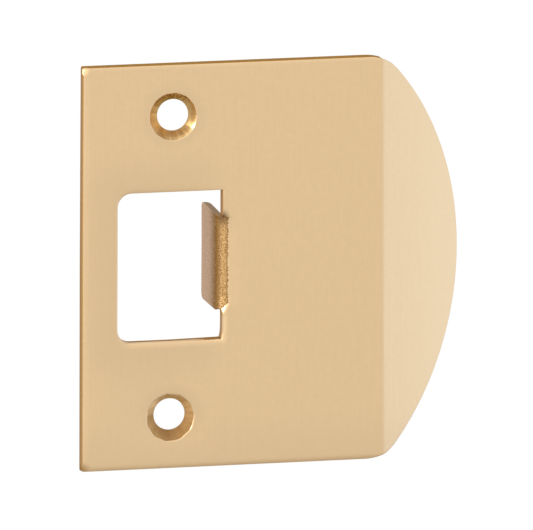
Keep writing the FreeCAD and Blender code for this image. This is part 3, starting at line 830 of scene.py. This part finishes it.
def lacquered_satin_brass():
    """Rolled brass, satin-polished up and down the plate and sprayed with clear lacquer. The eye gets an
    even, soft gold with a hint of upright brushing, duller where the punch has strained the sheet, with a
    painted highlight that makes the lip lighter. Painted shade makes it brown along the foot and in its
    left corner, and dark at the upper slit."""
    made, tree, place = start_metal(
        "lacquered_satin_brass", {"Roughness": 0.3, "Coat Weight": 0.6, "Coat Roughness": 0.25}
    )
    # Real polishing lines are about 0.02 mm apart. They are drawn ten times as coarse, so that they show.
    brushed = add_node(tree, "Mapping", {}, {"Vector": place, "Scale": per_size(*BRUSHING)})
    brushing = add_node(tree, "TexNoise", {}, {"Vector": brushed, "Scale": 1, "Detail": 2})
    clouds = add_node(tree, "TexNoise", {}, {"Vector": place, "Scale": 1 / (LACQUER_CLOUD * MM), "Detail": 3})
    mixed = add_node(tree, "Mix", {}, {"Factor": 0.5, "A": brushing, "B": clouds})
    tone = add_node(tree, "MapRange", {}, {"Value": mixed, "From Min": 0.3, "From Max": 0.7})
    gold = add_node(tree, "Mix", RGBA, {"Factor": tone, "A": linear("#D8B88B"), "B": linear("#DDBD90")})

    # How near each point is to the opening, as far as the sheet is flat.
    middle = ((OPENING_LEFT + STRAINED_RIGHT) / 2 * MM, 0, 0)
    half = ((STRAINED_RIGHT - OPENING_LEFT) / 2 * MM, 1, OPENING_HALF_HEIGHT * MM)
    from_middle = add_node(tree, "VectorMath", {"operation": "SUBTRACT"}, {0: place, 1: middle})
    to_side = add_node(tree, "VectorMath", {"operation": "ABSOLUTE"}, {0: from_middle})
    beyond = add_node(tree, "VectorMath", {"operation": "SUBTRACT"}, {0: to_side, 1: half})
    outside = add_node(tree, "VectorMath", {"operation": "MAXIMUM"}, {0: beyond, 1: (0, 0, 0)})
    from_opening = add_node(tree, "VectorMath", {"operation": "LENGTH"}, {0: outside})
    near_opening = add_node(
        tree,
        "MapRange",
        SOFTLY,
        {"Value": from_opening, "From Min": 0, "From Max": OPENING_STRAIN * MM, "To Min": 0.55, "To Max": 0},
    )

    # How near each point is to the countersinks, and to the foot.
    folded_over = add_node(tree, "VectorMath", {"operation": "ABSOLUTE"}, {0: place})
    off_axis = add_node(
        tree, "VectorMath", {"operation": "SUBTRACT"}, {0: folded_over, 1: (0, 0, SCREW_Z * MM)}
    )
    flat = add_node(tree, "VectorMath", {"operation": "MULTIPLY"}, {0: off_axis, 1: (1, 0, 1)})
    from_axis = add_node(tree, "VectorMath", {"operation": "LENGTH"}, {0: flat})
    start, end = COUNTERSINK_RADIUS * MM, (COUNTERSINK_RADIUS + SINK_STRAIN) * MM
    near_sink = add_node(
        tree,
        "MapRange",
        SOFTLY,
        {"Value": from_axis, "From Min": start, "From Max": end, "To Min": 0.4, "To Max": 0},
    )
    height = add_node(tree, "SeparateXYZ", {}, {"Vector": place}, "Z")
    start, end = ((up - PLATE_HALF_HEIGHT) * MM for up in FOOT_DULLING)
    near_foot = add_node(
        tree, "MapRange", SOFTLY, {"Value": height, "From Min": start, "From Max": end, "To Max": 0.45}
    )
    at_rims = add_node(tree, "Math", {"operation": "MAXIMUM"}, {0: near_opening, 1: near_sink})
    strained = add_node(tree, "Math", {"operation": "MAXIMUM"}, {0: at_rims, 1: near_foot})
    dulled = add_node(tree, "Mix", RGBA, {"Factor": strained, "A": gold, "B": linear("#CFB086")})

    # The lip painted lighter, as a painted highlight; the foot, its left corner and the upper slit painted
    # darker, as painted shade.
    across = add_node(tree, "SeparateXYZ", {}, {"Vector": place}, "X")
    start, end = FOLD_LINE * MM, (FOLD_LINE + LIP_LENGTH) * MM
    # Painted highlight: the lip is coloured lighter than the face, as the brighter light it catches.
    lip_light_share = add_node(
        tree, "MapRange", SOFTLY, {"Value": across, "From Min": start, "From Max": end, "To Max": 0.5}
    )
    lip_painted_lighter = add_node(tree, "Mix", RGBA, {"Factor": lip_light_share, "A": dulled, "B": linear("#E4C69A")})
    # Painted shade: a brown line along the foot and a brown patch in its left corner.
    start, end = (FOOT_LINE - PLATE_HALF_HEIGHT) * MM, -PLATE_HALF_HEIGHT * MM
    foot_shade_share = add_node(
        tree, "MapRange", SOFTLY, {"Value": height, "From Min": start, "From Max": end, "To Max": 0.28}
    )
    corner_shade_share = nearness(tree, place, FOOT_CORNER, CORNER_SHADE_REACH, 0.9)
    foot_and_corner_shade = add_node(tree, "Math", {"operation": "MAXIMUM"}, {0: foot_shade_share, 1: corner_shade_share})
    shaded_and_browned = add_node(tree, "Mix", RGBA, {"Factor": foot_and_corner_shade, "A": lip_painted_lighter, "B": linear("#9C7440")})
    # Painted shade: a dark spot on the face where the tab's upper corner lies in shade.
    slit_shade_share = nearness(tree, place, UPPER_SLIT_END, SLIT_SHADE_REACH, 1)
    slit_shaded = add_node(tree, "Mix", RGBA, {"Factor": slit_shade_share, "A": shaded_and_browned, "B": linear("#665038")})
    grain = add_node(tree, "Bump", {}, {"Height": brushing, "Strength": 0.12, "Distance": 0.004 * MM})
    return dressed(made, slit_shaded, Normal=grain)


def sheared_brass_edge():
    """The edge that the shear leaves. The eye gets a band of dull gold at the front, where the blade slid,
    that goes over into a streaky brown behind. The tab's edges are grey, and painted shade makes the
    foot's left corner dark."""
    made, tree, place = start_metal(
        "sheared_brass_edge", {"Roughness": 0.5, "Specular Tint": linear("#A88A66")}
    )
    depth = add_node(tree, "SeparateXYZ", {}, {"Vector": place}, "Y")
    streaks = add_node(tree, "TexNoise", {}, {"Vector": place, "Scale": 1 / (SHEAR_STREAK * MM), "Detail": 3})
    burnished = add_node(
        tree, "MapRange", {}, {"Value": depth, "From Min": -UNBURNISHED * SHEET * MM, "From Max": -SHEET * MM}
    )
    brown = add_node(tree, "Mix", RGBA, {"Factor": streaks, "A": linear("#A68868"), "B": linear("#C0A080")})
    gold = add_node(tree, "Mix", RGBA, {"Factor": burnished, "A": brown, "B": linear("#C4A278")})
    behind = add_node(tree, "MapRange", {}, {"Value": depth, "From Min": 0, "From Max": EDGE_GREYING * MM})
    grey = add_node(tree, "Mix", RGBA, {"Factor": behind, "A": gold, "B": linear("#AC9C8E")})
    # Painted shade: the foot's left corner is coloured dark brown.
    corner_shade_share = nearness(tree, place, FOOT_CORNER, CORNER_SHADE_REACH, 0.8)
    shaded_and_browned = add_node(tree, "Mix", RGBA, {"Factor": corner_shade_share, "A": grey, "B": linear("#7C5A36")})
    return dressed(made, shaded_and_browned)


def torn_brass_edge():
    """The edge where the sheet tore off below the blade. The eye gets a dark, dry brown, finely mottled."""
    made, tree, place = start_metal(
        "torn_brass_edge", {"Roughness": 0.6, "Specular Tint": linear("#B08C60")}
    )
    torn = add_node(tree, "TexNoise", {}, {"Vector": place, "Scale": 1 / (TORN_FLECK * MM), "Detail": 3})
    brown = add_node(tree, "Mix", RGBA, {"Factor": torn, "A": linear("#927040"), "B": linear("#BE9862")})
    return dressed(made, brown)


def strained_brass():
    """Brass stretched round the tab's bend until its grains stand up. The eye gets glittering dark gold,
    browner where the bend turns out of the light, pitted along the root, and painted dark at the upper slit
    as shade."""
    made, tree, place = start_metal(
        "strained_brass", {"Roughness": 0.3, "Specular Tint": linear("#B08C64")}
    )
    peel = add_node(tree, "TexNoise", {}, {"Vector": place, "Scale": 1 / (BEND_PEEL * MM), "Detail": 2})
    tone = add_node(tree, "MapRange", {}, {"Value": peel, "From Min": 0.35, "From Max": 0.65})
    gold = add_node(tree, "Mix", RGBA, {"Factor": tone, "A": linear("#946C38"), "B": linear("#D8B27C")})
    dusk = add_node(tree, "Mix", RGBA, {"Factor": tone, "A": linear("#825C34"), "B": linear("#BE986A")})
    across = add_node(tree, "SeparateXYZ", {}, {"Vector": place}, "X")
    start, end = TAB_FACE * MM, (TAB_FACE + BEND_DUSK) * MM
    turned = add_node(
        tree,
        "MapRange",
        SOFTLY,
        {"Value": across, "From Min": start, "From Max": end, "To Min": 0.9, "To Max": 0},
    )
    brown = add_node(tree, "Mix", RGBA, {"Factor": turned, "A": gold, "B": dusk})
    start, end = ((TAB_ROOT - back) * MM for back in BEND_PITS)
    ragged = add_node(
        tree, "MapRange", SOFTLY, {"Value": across, "From Min": start, "From Max": end, "To Max": 0.6}
    )
    pitted = add_node(tree, "Mix", RGBA, {"Factor": ragged, "A": brown, "B": linear("#7A5830")})
    # Painted shade: a dark spot on the bend's upper end, beside the slit.
    bend_slit_shade_share = nearness(tree, place, UPPER_SLIT_END, BEND_SHADE_REACH, 1)
    slit_shaded = add_node(tree, "Mix", RGBA, {"Factor": bend_slit_shade_share, "A": pitted, "B": linear("#5E4630")})
    grain = add_node(tree, "Bump", {}, {"Height": peel, "Strength": 0.9, "Distance": 0.06 * MM})
    return dressed(made, slit_shaded, Normal=grain)


def dull_brass_tab():
    """The tab's flat, which the polishing wheel doesn't reach. The eye gets a grey-brown skin with fine pale
    specks, darker towards the bend."""
    made, tree, place = start_metal(
        "dull_brass_tab", {"Roughness": 0.5, "Specular Tint": linear("#A0907E")}
    )
    speckle = add_node(tree, "TexNoise", {}, {"Vector": place, "Scale": 1 / (TAB_SPECKLE * MM), "Detail": 2})
    tone = add_node(tree, "MapRange", {}, {"Value": speckle, "From Min": 0.35, "From Max": 0.7})
    dull = add_node(tree, "Mix", RGBA, {"Factor": tone, "A": linear("#C6A992"), "B": linear("#DABFAA")})
    depth = add_node(tree, "SeparateXYZ", {}, {"Vector": place}, "Y")
    near_bend = add_node(
        tree,
        "MapRange",
        SOFTLY,
        {"Value": depth, "From Min": 0, "From Max": TAB_DUSK * MM, "To Min": 0.9, "To Max": 0},
    )
    brown = add_node(tree, "Mix", RGBA, {"Factor": near_bend, "A": dull, "B": linear("#8E6A42")})
    dots = add_node(
        tree, "MapRange", {}, {"Value": speckle, "From Min": 0.56, "From Max": 0.66, "To Max": 0.55}
    )
    dotted = add_node(tree, "Mix", RGBA, {"Factor": dots, "A": brown, "B": linear("#EEDCCA")})
    grain = add_node(tree, "Bump", {}, {"Height": speckle, "Strength": 0.4, "Distance": 0.03 * MM})
    return dressed(made, dotted, Normal=grain)


def mill_brass_back():
    """The back as the rolling mill left it. The eye gets a duller, darker gold with rolling lines."""
    made, tree, place = start_metal("mill_brass_back", {"Roughness": 0.42})
    # Real rolling lines are about 0.03 mm apart. They are drawn ten times as coarse, so that they show.
    rolled = add_node(tree, "Mapping", {}, {"Vector": place, "Scale": per_size(*ROLLING)})
    lines = add_node(tree, "TexNoise", {}, {"Vector": rolled, "Scale": 1, "Detail": 3})
    brown = add_node(tree, "Mix", RGBA, {"Factor": lines, "A": linear("#B89766"), "B": linear("#D3B382")})
    grain = add_node(tree, "Bump", {}, {"Height": lines, "Strength": 0.3, "Distance": 0.01 * MM})
    return dressed(made, brown, Normal=grain)


def cut_brass():
    """Brass freshly cut by the countersink. The eye gets a deep gold, bright where a facet catches the light,
    its facets streaked darker by painted shade. Painted shade makes the upper arc of the upper one brown,
    with pale specks left in it. The lower one is duller, painted pale at the upper left as its facets'
    glints, and stained at the lower right."""
    made, tree, place = start_metal("cut_brass", {"Roughness": 0.22, "Specular Tint": linear("#C8A468")})
    tooling = add_node(tree, "TexNoise", {}, {"Vector": place, "Scale": 1 / (TOOL_MARK * MM), "Detail": 2})
    gold = add_node(tree, "Mix", RGBA, {"Factor": tooling, "A": linear("#BA9864"), "B": linear("#E0C08C")})
    height = add_node(tree, "SeparateXYZ", {}, {"Vector": place}, "Z")
    # Painted shade: the upper arc of the upper countersink is coloured brown, with pale specks left in it.
    start, end = ((SCREW_Z + up) * MM for up in UPPER_SHADE_ARC)
    upper_arc_shade = add_node(
        tree, "MapRange", SOFTLY, {"Value": height, "From Min": start, "From Max": end, "To Max": 0.85}
    )
    specks = add_node(tree, "MapRange", {}, {"Value": tooling, "From Min": 0.62, "From Max": 0.45})
    speckled_shade = add_node(tree, "Math", {"operation": "MULTIPLY"}, {0: upper_arc_shade, 1: specks})
    upper_arc_shaded = add_node(tree, "Mix", RGBA, {"Factor": speckled_shade, "A": gold, "B": linear("#7A5226")})
    start, end = ((up - SCREW_Z) * MM for up in (LOWER_ARC, -LOWER_ARC))
    lower_arc = add_node(
        tree, "MapRange", SOFTLY, {"Value": height, "From Min": start, "From Max": end, "To Max": 0.6}
    )
    across = add_node(tree, "SeparateXYZ", {}, {"Vector": place}, "X")
    right_arc = add_node(
        tree, "MapRange", SOFTLY, {"Value": across, "From Min": -RIGHT_ARC * MM, "From Max": 0}
    )
    stained = add_node(tree, "Math", {"operation": "MULTIPLY"}, {0: lower_arc, 1: right_arc})
    shaded_and_browned = add_node(tree, "Mix", RGBA, {"Factor": stained, "A": upper_arc_shaded, "B": linear("#8E683C")})
    # Painted highlight: the lower countersink is coloured pale at its upper left, as the glints of its
    # facets.
    painted_glint_share = nearness(tree, place, GLINT_SPOT, GLINT_REACH, 0.9)
    glint_painted = add_node(tree, "Mix", RGBA, {"Factor": painted_glint_share, "A": shaded_and_browned, "B": linear("#F0D6AA")})

    # The cutter chatters round the cone, so its facets run from the rim to the bore.
    side = add_node(tree, "Math", {"operation": "SIGN"}, {0: height})
    axis_z = add_node(tree, "Math", {"operation": "MULTIPLY"}, {0: side, 1: SCREW_Z * MM})
    axis = add_node(tree, "CombineXYZ", {}, {"Z": axis_z})
    off_axis = add_node(tree, "VectorMath", {"operation": "SUBTRACT"}, {0: place, 1: axis})
    flat = add_node(tree, "VectorMath", {"operation": "MULTIPLY"}, {0: off_axis, 1: (1, 0, 1)})
    round_axis = add_node(tree, "VectorMath", {"operation": "NORMALIZE"}, {0: flat})
    turned = add_node(
        tree, "VectorMath", {"operation": "MULTIPLY_ADD"}, {0: axis, 1: HOLES_APART, 2: round_axis}
    )
    facets = add_node(tree, "TexNoise", {}, {"Vector": turned, "Scale": FACET_PITCH, "Detail": 1})
    # Painted shade: the facets are streaked darker brown, as facets turned from the light.
    shade = add_node(
        tree, "MapRange", {}, {"Value": facets, "From Min": 0.35, "From Max": 0.65, "To Max": 0.4}
    )
    facet_shaded = add_node(tree, "Mix", RGBA, {"Factor": shade, "A": glint_painted, "B": linear("#A27A46")})
    ridges = add_node(tree, "Bump", {}, {"Height": facets, "Strength": 1, "Distance": 0.2 * MM})
    dulled = add_node(
        tree,
        "MapRange",
        {},
        {"Value": height, "From Min": -MM, "From Max": MM, "To Min": 0.8, "To Max": 0.28},
    )
    return dressed(made, facet_shaded, Normal=ridges, Roughness=dulled)


plate = press_plate()
for finish in (
    lacquered_satin_brass(),
    sheared_brass_edge(),
    torn_brass_edge(),
    strained_brass(),
    dull_brass_tab(),
    mill_brass_back(),
    cut_brass(),
):
    plate.data.materials.append(finish)
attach(plate, "root")
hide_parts("strike_plate")

# The floor is a pale disc well below the plate, which hangs by its screw holes.
FLOOR_DROP = 0.28
FLOOR_RADIUS = 0.6
FLOOR_SEGMENTS = 64
floor_mesh = bpy.data.meshes.new("floor")
disc = bmesh.new()
bmesh.ops.create_circle(
    disc,
    cap_ends=True,
    segments=FLOOR_SEGMENTS,
    radius=FLOOR_RADIUS,
    matrix=Matrix.Translation((0, 0, -FLOOR_DROP)),
)
disc.to_mesh(floor_mesh)
disc.free()
floor = bpy.data.objects.new("floor", floor_mesh)
bpy.context.collection.objects.link(floor)
pale = bpy.data.materials.new("pale_floor")
pale.use_nodes = True
matt = pale.node_tree.nodes["Principled BSDF"].inputs
matt["Base Color"].default_value = linear("#C8C8C6")
matt["Roughness"].default_value = 0.9
floor.data.materials.append(pale)

# The light: a soft grey room, dim below, with a pale wall in front, bright up on the left, a cool panel on
# the right that the lip faces, and a white backdrop behind. Each has where it stands, its colour, and the
# cosines between which it fades in.
ROOM_GREY = (0.62, 0.62, 0.62, 1)
ROOM = (
    ((0, 0, -1), (0.3, 0.3, 0.3, 1), 0.3, 0.7),
    ((0.1, -0.98, 0.1), (0.91, 0.905, 0.9, 1), 0.3, 0.8),
    ((-0.62, -0.5, 0.6), (1.5, 1.49, 1.47, 1), 0, 0.9),
    ((0.904, -0.376, -0.199), (1.17, 1.29, 1.5, 1), 0.6, 0.9),
    ((0, 1, 0), (1, 1, 1, 1), 0.2, 0.6),
)
world = bpy.data.worlds.new("soft_room")
bpy.context.scene.world = world
world.use_nodes = True
room = world.node_tree
toward = add_node(room, "TexCoord", {}, {}, "Generated")
glow = ROOM_GREY
for source, colour, edge, heart in ROOM:
    facing = add_node(
        room, "VectorMath", {"operation": "DOT_PRODUCT"}, {0: toward, 1: Vector(source).normalized()}
    )
    share = add_node(room, "MapRange", SOFTLY, {"Value": facing, "From Min": edge, "From Max": heart})
    glow = add_node(room, "Mix", RGBA, {"Factor": share, "A": glow, "B": colour})
room.links.new(glow, room.nodes["Background"].inputs["Color"])

# One lamp up on the left gives the glints.
LAMP_FROM = Vector((-0.888, -0.262, 0.373))
LAMP_DISTANCE = 0.6
LAMP_SIZE = 0.16
LAMP_POWER = 2.2
lamp_data = bpy.data.lights.new("key_lamp", "AREA")
lamp_data.size = LAMP_SIZE
lamp_data.energy = LAMP_POWER
lamp = bpy.data.objects.new("key_lamp", lamp_data)
bpy.context.collection.objects.link(lamp)
lamp.location = LAMP_FROM * LAMP_DISTANCE
lamp.rotation_mode = "QUATERNION"
lamp.rotation_quaternion = LAMP_FROM.to_track_quat("Z", "Y")

# The camera stands where the photograph was taken from, with a long lens, in millimetres as its sensor is.
AZIMUTH = math.radians(-13.641)
ELEVATION = math.radians(11.416)
ROLL = math.radians(0.251)
DISTANCE = 2.2
LENS = 1067.96
SENSOR = 36
FARTHEST = 20
AIM = Vector((13.789, 0.048, -0.651)) * MM
camera_data = bpy.data.cameras.new("camera")
camera_data.lens = LENS
camera_data.sensor_width = SENSOR
camera_data.clip_end = FARTHEST
camera = bpy.data.objects.new("camera", camera_data)
bpy.context.collection.objects.link(camera)
level = math.cos(ELEVATION)
back = Vector((math.sin(AZIMUTH) * level, -math.cos(AZIMUTH) * level, math.sin(ELEVATION)))
camera.location = AIM + back * DISTANCE
camera.rotation_mode = "QUATERNION"
facing = (-back).to_track_quat("-Z", "Y").to_matrix()
camera.rotation_quaternion = (facing @ Matrix.Rotation(ROLL, 3, "Z")).to_quaternion()
bpy.context.scene.camera = camera
bpy.context.scene.view_settings.view_transform = "Standard"
